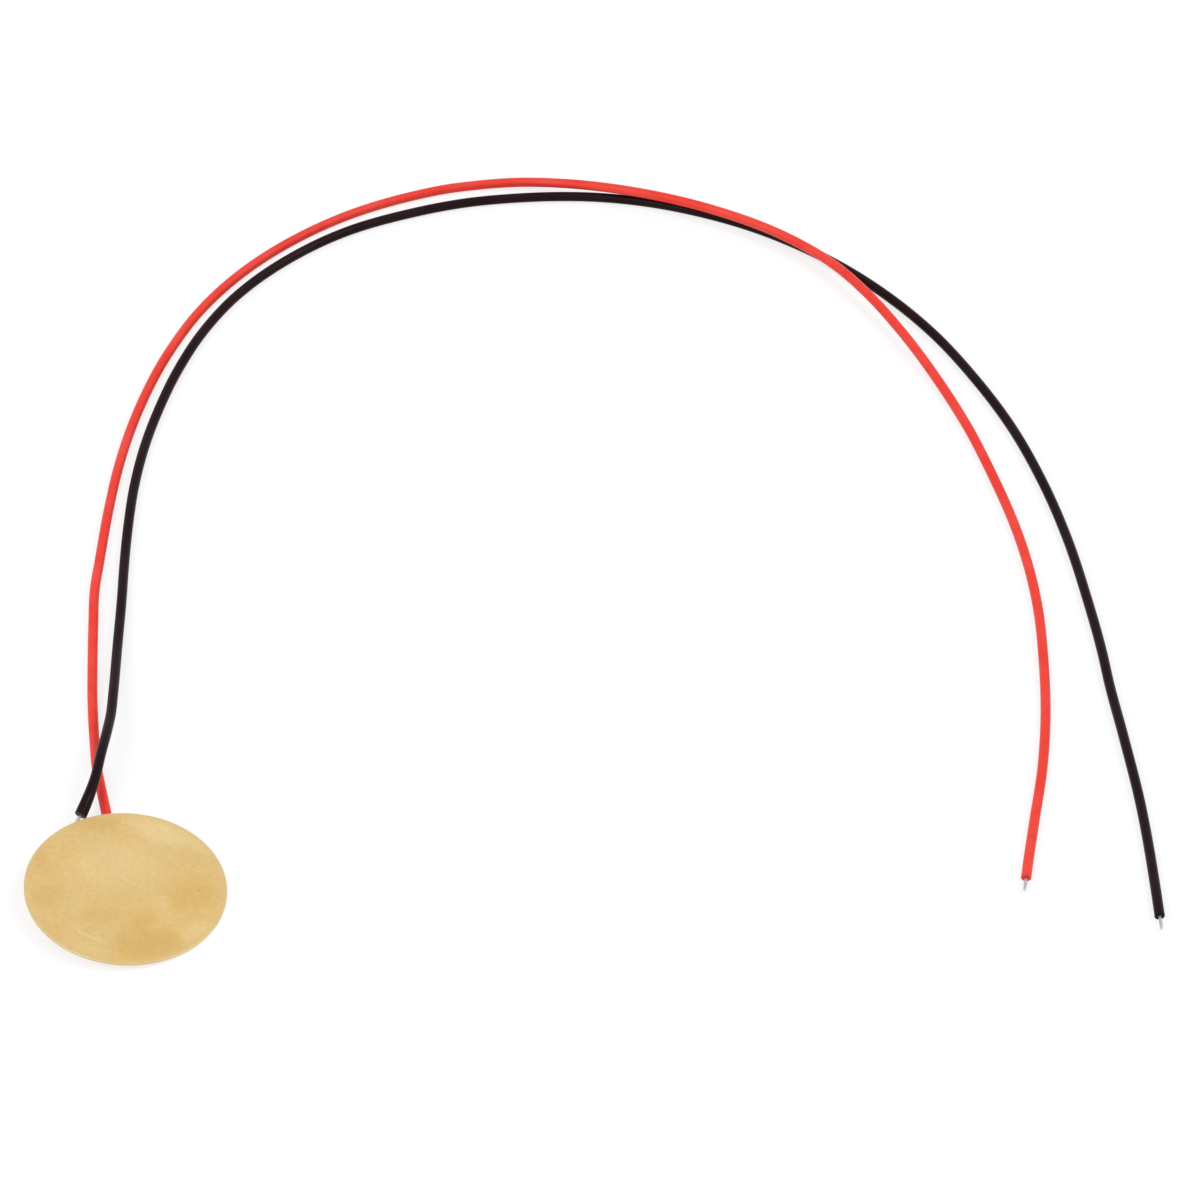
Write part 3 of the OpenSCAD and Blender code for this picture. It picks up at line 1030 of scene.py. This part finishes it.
@dataclass(frozen=True)
class Lead:
    """Insulated lead, from its solder joint to its bare tinned tip.

    Attributes:
        name: red or black.
        route: the points that it follows.
        joint: the joint that holds its wire.
        slot: record slot of its insulation; not used.
        skin: finish of its insulation.
        metal: finish of its strands.
        swell: extra width at its soldered end, from the heat.
        swell_length: how far that end's swelling reaches.
        tip: length of its bare tip.
        bore_gap: gap between the strands and the bore.
        melted_lip: radius of the rounded edge of its soldered end.
        cut_lip: radius of the rounded edge of its other end.
        lip_rings: rings of each rounded edge.
        cut_slant: how far each end's face leans along the lead.
        slant_ways: where each end's face leans to, as an angle round the lead.
        slant_reach: how far along the lead the slant is felt.
        strands: strands round its wire.
        lay: length in which they turn once.
        valley: depth of the valleys between them, as a share of the wire's radius.
        tinned_valley: how much of that depth the tin fills at the tip.
        blunt: length of the tip's rounding, in the wire's radii.
        taper: share of its radius that the wire loses at the tip.
        gap: longest step along it.
        fine_gap: step along its bare strands.
    """

    name: str
    route: Route
    joint: SolderJoint
    slot: Slot
    skin: PvcFinish
    metal: TinnedFinish
    swell: float
    swell_length: float = 7 * MM
    tip: float = 2.4 * MM
    bore_gap: float = 0.01 * MM
    melted_lip: float = 0.06 * MM
    cut_lip: float = 0.07 * MM
    lip_rings: int = 7
    cut_slant: float = 0.05 * MM
    slant_ways: tuple[float, float] = (0.9, 2.4)
    slant_reach: float = 1 * MM
    strands: int = 6
    lay: float = 9 * MM
    valley: float = 0.2
    tinned_valley: float = 0.1
    blunt: float = 1.6
    taper: float = 0.22
    gap: float = 0.5 * MM
    fine_gap: float = 0.06 * MM

    def skin_line(self) -> Line:
        """Line that the insulation follows."""
        points = self.route.placed(self.joint.wire_points()[-1])
        return Line(self.route.curve(points, self.gap))

    def wire_line(self, tip_points: int = 12) -> Line:
        """Line of the conductor: through the joint, along the insulation, and out to the tip."""
        wire = self.joint.wire_points()
        points = self.route.placed(wire[-1])
        bare = self.route.curve(np.concatenate([wire[1:], points[:2]]), self.gap / 2)
        start = bare[: np.argmin(np.linalg.norm(bare - points[0], axis=1))]
        skin = self.skin_line().points
        step = unit(points[-1] - points[-2]) * self.tip
        end = skin[-1] + np.linspace(0, 1, tip_points)[1:, None] * step
        return Line(np.concatenate([wire[:1], start, skin, end]))

    def skin_surface(self, sides: int = 28) -> Rings:
        """Shapes the insulation: its outer wall, a rounded edge at each end, and its bore.

        The outer radius is the lead's, plus the swelling, which falls to nothing along a
        squared cosine, less a quarter round at each edge. The cut ends slant by a cosine round
        the ring. The bore follows the same line at the strands' radius and a small gap.

        Args:
            sides: points of a ring.

        Returns:
            The closed surface.
        """
        line = self.skin_line()
        lip = np.sin(np.linspace(0, math.pi / 2, self.lip_rings)) ** 2
        body = np.arange(self.swell_length / 12, line.length - self.slant_reach, self.gap)
        places = np.concatenate([
            lip * self.melted_lip, body, line.length - (lip * self.cut_lip)[::-1]])
        to_end = line.length - places
        radius = self.route.lead_d / 2 + self.swell / 2 * fall(places, self.swell_length)
        for from_end, lip_r in ((places, self.melted_lip), (to_end, self.cut_lip)):
            radius = radius - lip_r * (1 - rounding(from_end, lip_r))
        angle = ring_angles(sides)
        slant = self.cut_slant * sum(
            np.cos(angle - way) * fall(from_end, self.slant_reach)[:, None]
            for way, from_end in zip(self.slant_ways, (places, to_end)))
        outer_r = np.repeat(radius[:, None], sides, axis=1)
        bore_r = np.full_like(outer_r, self.joint.wire_r + self.bore_gap)
        outer = line.carry(places, outer_r, slant)
        bore = line.carry(places, bore_r, slant)[::-1]
        flat = self.own_measure(places, outer_r)
        return Rings(np.concatenate([outer, bore]), looped=True,
                     along=np.concatenate([flat, flat[::-1]]))

    def own_measure(self, places: Array, radii: Array) -> Array:
        """Places in the straightened lead: length along it, then across its section."""
        angle = ring_angles(radii.shape[1])
        length = np.broadcast_to(places[:, None], radii.shape)
        return np.stack([length, radii * np.cos(angle), radii * np.sin(angle)], axis=-1)

    def wire_surface(self, lobe_sides: int = 6, lobe_power: float = 0.8) -> Rings:
        """Shapes the strands, which tin has joined into one twisted bundle.

        At angle a and length s the radius is the bundle's, less a valley times one minus a
        power of the size of the cosine of (number of strands / 2) times (a less the twist at
        s). The valleys are shallower at the tip, where tin fills them, and the tip ends in a
        blunt round point. Inside the insulation the rings are further apart.

        Args:
            lobe_sides: points round each strand.
            lobe_power: power that rounds each strand.

        Returns:
            The closed surface.
        """
        line = self.wire_line()
        skin = self.skin_line().length
        bare = line.length - self.tip - skin
        hidden = np.arange(bare + self.gap, bare + skin - self.gap, 2 * self.gap)
        places = np.concatenate([
            np.arange(self.fine_gap / 3, hidden[0], self.fine_gap), hidden,
            np.arange(hidden[-1] + self.fine_gap, line.length, self.fine_gap)])
        angle = ring_angles(self.strands * lobe_sides)
        twist = TURN * places / self.lay
        lobes = np.abs(np.cos(self.strands / 2 * (angle[None, :] - twist[:, None])))
        to_tip = line.length - places
        near_tip = fall(to_tip, self.tip)
        wire_r = self.joint.wire_r
        valley = self.valley - self.tinned_valley * near_tip
        radii = wire_r * (1 - valley[:, None] * (1 - lobes ** lobe_power))
        point = rounding(to_tip, wire_r * self.blunt) * (1 - self.taper * near_tip)
        radii = radii * point[:, None]
        return Rings(line.carry(places, radii), first_pole=line.points[0],
                     last_pole=line.points[-1], along=self.own_measure(places, radii))

    def build(self) -> list[Piece]:
        """Builds the lead, and returns its insulation and its strands."""
        skin = stand_in(self.skin_surface().piece(f"{self.name}_lead_insulation"),
                        f"{self.name}_insulation", self.skin)
        wire = stand_in(self.wire_surface().piece(f"{self.name}_lead_strands"),
                        f"{self.name}_core", self.metal)
        self.joint.wire_points()[-1].tolist()
        self.wire_line().length
        self.skin_line().points.tolist()
        return [skin, wire]


# ---- The studio ----


@dataclass(frozen=True)
class Viewpoint:
    """Camera that looks at a place on the surface.

    Attributes:
        target: the place.
        distance: how far the camera is from it.
        elevation: its angle above the surface, in degrees.
        lens: focal length, in millimetres.
        sensor: width of the sensor, in millimetres.
    """

    target: Point
    distance: float
    elevation: float
    lens: float
    sensor: float = 36.0

    def build(self) -> None:
        """Makes the scene's camera, looking along +Y."""
        data = bpy.data.cameras.new("camera")
        data.lens = self.lens
        data.sensor_width = self.sensor
        data.clip_start = self.distance / 100
        data.clip_end = self.distance * 20
        camera = add_to_scene("camera", data)
        tilt = math.radians(self.elevation)
        x, y, z = self.target
        camera.location = (x, y - self.distance * math.cos(tilt), z + self.distance * math.sin(tilt))
        camera.rotation_euler = (math.pi / 2 - tilt, 0.0, 0.0)
        bpy.context.scene.camera = camera


@dataclass(frozen=True)
class SoftLight:
    """Large square lamp that points at the middle of the scene.

    Attributes:
        name: its name.
        offset: where it hangs, from that middle.
        width: its width.
        power: its power, in watts.
        colour: its colour.
    """

    name: str
    offset: Point
    width: float
    power: float
    colour: tuple[float, float, float]

    def build(self, middle: Point) -> None:
        """Hangs the lamp over the middle of the scene."""
        data = bpy.data.lights.new(self.name, "AREA")
        data.shape = "SQUARE"
        data.size = self.width
        data.energy = self.power
        data.color = self.colour
        lamp = add_to_scene(self.name, data)
        lamp.location = tuple(a + b for a, b in zip(middle, self.offset))
        lamp.rotation_euler = (-Vector(self.offset)).to_track_quat("-Z", "Y").to_euler()


@dataclass(frozen=True)
class Studio:
    """White floor, even light from all round, and two large soft lamps.

    Attributes:
        middle: middle of the floor.
        lamps: the lamps.
        floor_w: width of the floor.
        floor_shade: how much of the floor's white comes from light that falls on it, and so
            how dark a shadow on it is.
        floor_white: brightness of the floor where no shadow falls on it.
        bounce: how much of the light the floor gives back to the object.
        sky: strength of the even light.
    """

    middle: Point
    lamps: tuple[SoftLight, ...]
    floor_w: float = 12.0
    floor_shade: float = 0.28
    floor_white: float = 1.02
    bounce: float = 0.85
    sky: float = 0.6

    @staticmethod
    def seen(sheet: Sheet) -> Socket:
        """Gives 1 for what is seen directly, in a reflection or through something clear."""
        path = sheet.add("LightPath").outputs
        mirrored = sheet.maths("MAXIMUM", path["Is Glossy Ray"], path["Is Transmission Ray"])
        return sheet.maths("MAXIMUM", path["Is Camera Ray"], mirrored)

    def floor_material(self) -> bpy.types.Material:
        """Makes white paper that keeps shadows, lights the object, and is clear from below."""
        made = bpy.data.materials.new("white_paper")
        made.use_nodes = True
        sheet = Sheet(made.node_tree)
        sheet.tree.nodes.clear()
        shaded = sheet.add("BsdfDiffuse", {"Color": grey(self.floor_shade)})
        glow = sheet.add("Emission", {
            "Color": grey(1.0), "Strength": self.floor_white - self.floor_shade})
        white = sheet.add("AddShader", {0: shaded.outputs[0], 1: glow.outputs[0]})
        bounce = sheet.add("BsdfDiffuse", {"Color": grey(self.bounce)})
        front = sheet.add("MixShader", {0: self.seen(sheet), 1: bounce.outputs[0], 2: white.outputs[0]})
        below = sheet.add("NewGeometry").outputs["Backfacing"]
        clear = sheet.add("BsdfTransparent")
        either = sheet.add("MixShader", {0: below, 1: front.outputs[0], 2: clear.outputs[0]})
        sheet.add("OutputMaterial", {"Surface": either.outputs[0]})
        return made

    def build(self) -> None:
        """Lays the floor and sets the light."""
        x, y, z = self.middle
        half = self.floor_w / 2
        mesh = bpy.data.meshes.new("floor")
        corners = [(x + i * half, y + j * half, z) for i, j in ((-1, -1), (1, -1), (1, 1), (-1, 1))]
        mesh.from_pydata(corners, [], [(0, 1, 2, 3)])
        mesh.materials.append(self.floor_material())
        add_to_scene("floor", mesh)
        self.build_sky()
        for lamp in self.lamps:
            lamp.build(self.middle)

    def build_sky(self) -> None:
        """Sets even light all round, white where it is seen directly or in a mirror."""
        world = bpy.data.worlds.new("even_light")
        bpy.context.scene.world = world
        world.use_nodes = True
        sheet = Sheet(world.node_tree)
        sheet.tree.nodes.clear()
        strength = sheet.ranged(self.seen(sheet), 0.0, 1.0, self.sky, 1.0)
        light = sheet.add("Background", {"Color": grey(1.0), "Strength": strength})
        sheet.add("OutputWorld", {"Surface": light.outputs[0]})


# ---- Sizes and routes ----

BRASS_D = 27 * MM
BRASS_T = 0.3 * MM
CERAMIC_D = 20 * MM
STACK_T = 0.26 * MM  # adhesive film, ceramic and both layers of silver
LEAD_D = 1.4 * MM

RED_NEAR = (
    (-0.00055, 0.00265, 0.0), (-0.0017, 0.00815, 0.0),
)
RED_FAR = (
    (-0.00465, 0.0205, 0.0), (-0.0052, 0.0233, 0.0), (-0.0057, 0.0275, 0.0), (-0.0065, 0.036, 0.0),
    (-0.0069, 0.043, 0.0), (-0.00725, 0.051, 0.0), (-0.00745, 0.058, 0.0), (-0.0071, 0.064, 0.0),
    (-0.00635, 0.075, 0.0), (-0.00545, 0.0835, 0.0), (-0.00345, 0.0945, 0.0), (0.0006, 0.108, 0.0),
    (0.005, 0.1175, 0.0), (0.0105, 0.1254, 0.0), (0.0185, 0.1333, 0.0), (0.0265, 0.1388, 0.0),
    (0.034, 0.1423, 0.0), (0.0425, 0.14485, 0.0), (0.051, 0.1454, 0.3), (0.0585, 0.14415, 0.85),
    (0.0675, 0.1421, 1.1), (0.079, 0.1382, 1.1), (0.0905, 0.1317, 1.1), (0.0975, 0.1254, 1.1),
    (0.102, 0.1193, 1.1), (0.107, 0.111, 0.8), (0.113, 0.099, 0.1), (0.1155, 0.09265, 0.0),
    (0.119, 0.08135, 0.0), (0.1213, 0.0726, 0.0), (0.1223, 0.0679, 0.0), (0.1236, 0.0595, 0.0),
    (0.1241, 0.054, 0.0), (0.12435, 0.044, 0.0), (0.1241, 0.0335, 0.0), (0.1232, 0.0235, 0.0),
    (0.12155, 0.013, 0.0), (0.1203, 0.005, 0.0), (0.11996, 0.0026, 0.0),
)
BLACK_NEAR = (
    (0.00045, 0.00135, 1.05), (0.0013, 0.00355, 1.65),
)
BLACK_FAR = (
    (-0.00495, 0.0185, 2.15), (-0.0045, 0.022, 2.35), (-0.00385, 0.0275, 2.1), (-0.0036, 0.031, 1.7),
    (-0.00355, 0.036, 1.25), (-0.0036, 0.046, 0.45), (-0.00355, 0.056, 0.15), (-0.0036, 0.062, 0.0),
    (-0.00345, 0.0715, 0.0), (-0.00305, 0.079, 0.0), (-0.002, 0.0875, 0.0), (-0.00035, 0.0955, 0.0),
    (0.0022, 0.1045, 0.0), (0.00515, 0.112, 0.0), (0.0097, 0.12, 0.0), (0.017, 0.12825, 0.0),
    (0.0255, 0.1346, 0.0), (0.035, 0.1388, 0.0), (0.0435, 0.14125, 0.0), (0.05, 0.1422, 0.0),
    (0.056, 0.1426, 0.0), (0.0625, 0.14245, 0.0), (0.071, 0.1411, 0.0), (0.0775, 0.13915, 0.0),
    (0.0855, 0.1357, 0.0), (0.0935, 0.13075, 0.0), (0.098, 0.12725, 0.0), (0.10665, 0.1185, 0.0),
    (0.11155, 0.112, 0.0), (0.11735, 0.102, 0.0), (0.122, 0.092, 0.0), (0.12605, 0.08, 0.0),
    (0.129, 0.068, 0.0), (0.131, 0.0565, 0.0), (0.1326, 0.045, 0.0), (0.1331, 0.04, 0.0),
    (0.13455, 0.029, 0.0), (0.136, 0.017, 0.0), (0.13705, 0.002, 0.0), (0.13735, -0.0044, 0.0),
)

TARNISH = (
    Patch((-4.6, 11.5), (5.4, 2.2), 12, 0.45),
    Patch((3.0, -9.4), (5.6, 4.6), -15, 0.55),
    Patch((6.2, -8.8), (2.6, 3.0), -50, 0.35),
    Patch((0.6, -11.2), (4.0, 3.0), 10, 0.3),
    Patch((2.6, -5.6), (2.6, 2.4), 60, 0.4),
    Patch((-2.6, -5.2), (4.6, 1.9), 12, 0.3),
    Patch((8.9, -0.6), (4.8, 4.4), 0, 0.45),
    Patch((-10.4, -1.9), (2.8, 3.0), 0, 0.4),
    Patch((-9.2, -8.2), (2.6, 1.8), -45, 0.15),
    Patch((-11.9, 4.4), (1.4, 3.6), 15, 0.4),
)
RUBS = (
    Patch((4.2, 10.5), (6.8, 3.0), -18, 1.0),
    Patch((9.4, 8.2), (3.0, 1.4), -42, 0.5),
    Patch((-2.8, 3.8), (7.4, 6.4), 25, 0.55),
    Patch((2.2, 4.4), (5.4, 6.4), 0, 0.35),
    Patch((-4.2, -11.2), (4.6, 2.6), -20, 0.3),
    Patch((9.6, -6.8), (3.2, 2.4), 45, 0.5),
    Patch((4.9, -2.4), (1.3, 2.6), 15, 0.35),
    Patch((-6.2, -2.6), (1.4, 2.6), 0, 0.3),
)
SPOTS = (
    Patch((9.76, 0.32), (0.48, 0.42), 20, 0.38),
    Patch((-4.8, -1.0), (0.32, 0.32), 0, 0.3),
    Patch((-12.0, 4.1), (0.34, 0.4), 60, 0.2),
    Patch((8.77, 4.54), (0.24, 0.34), 0, 0.3),
)
# Patches within which a painted highlight lies along the ceramic's outline.
OUTLINE_HIGHLIGHTS = (
    Patch((-4.6, -9.0), (4.0, 2.0), -27, 0.75),
    Patch((4.0, 9.2), (6.0, 2.4), -22, 0.3),
)

LAMPS = (
    SoftLight("key_light", (-0.7, -0.5, 1.1), width=0.9, power=6.5, colour=(0.97, 0.985, 1.0)),
    SoftLight("fill_light", (0.75, 0.0, 1.08), width=0.4, power=4.0, colour=(1.0, 0.985, 0.96)),
)


def mount(name: str) -> dict:
    """Gives a mount of the record by its name."""
    return next(found for found in frame["record"]["mounts"] if found["name"] == name)


def main() -> None:
    """Builds the camera, the leads, the element and the studio, and reports each piece."""
    logging.basicConfig(level=logging.INFO, format="%(name)s %(message)s")
    bpy.context.scene.view_settings.view_transform = "Standard"
    Viewpoint(target=(0.06311, 0.05672, 0.0), distance=0.89345, elevation=44.0, lens=192.04).build()

    place = PlatePlace.from_face(mount("brass_face"), BRASS_T)
    solder = SolderFinish("frozen_solder", 0.22)
    signal = SolderJoint(
        "signal", place, solder, from_middle=6.2 * MM, direction=105, face_depth=STACK_T,
        foot_d=3.4 * MM, height=1.3 * MM, wire_direction=101, foot_reach=0.12, seed=0.7)
    earth = SolderJoint(
        "earth", place, solder, from_middle=11.825 * MM, direction=122, face_depth=0.0,
        foot_d=2.95 * MM, height=1.0 * MM, wire_direction=122, foot_reach=0.03, seed=2.3)
    tinned = TinnedFinish("tinned_strands", 0.3)
    red_pvc = PvcFinish(
        "soft_red_pvc", 0.36, body=(0.86, 0.045, 0.028, 1.0), pale=(0.92, 0.08, 0.06, 1.0),
        deep=(0.78, 0.026, 0.016, 1.0), speck=(0.3, 0.02, 0.02, 1.0), gloss=0.2)
    black_pvc = PvcFinish(
        "soft_black_pvc", 0.3, body=(0.01, 0.001, 0.002, 1.0), pale=(0.02, 0.008, 0.01, 1.0),
        deep=(0.003, 0.0005, 0.001, 1.0), speck=(0.1, 0.08, 0.08, 1.0), gloss=0.085)
    red = Lead("red", Route(RED_NEAR, RED_FAR, LEAD_D), signal, Slot.RED_PVC, red_pvc, tinned,
               swell=0.0)
    black = Lead("black", Route(BLACK_NEAR, BLACK_FAR, LEAD_D), earth, Slot.BLACK_PVC, black_pvc,
                 tinned, swell=0.3 * MM)
    adhesive = Adhesive(place, AdhesiveFinish("cured_adhesive", 0.25, place), CERAMIC_D / 2)
    for part in (red, black, signal, earth, adhesive):
        for piece in part.build():
            log.info("%s: %d faces", piece.name, len(piece.data.polygons))

    silver = SilverFinish(
        "fired_silver", 0.42, place, tuple(signal.middle().tolist()), signal.foot_d / 2)
    brass = BrassFinish(
        "rolled_brass", 0.42, place, BRASS_D / 2, CERAMIC_D / 2, TARNISH, RUBS, SPOTS, OUTLINE_HIGHLIGHTS)
    for name, finish in (
            ("brass_plate", brass), ("ceramic_disc", CeramicFinish("piezo_ceramic", 0.62, place)),
            ("inner_electrode", silver), ("outer_electrode", silver)):
        finish.put_on(frame["nodes"][name])
        log.info("%s: packed shape, finish %s", name, finish.name)

    Studio((0.06, 0.06, 0.0), LAMPS).build()


if __name__ == "__main__":
    main()
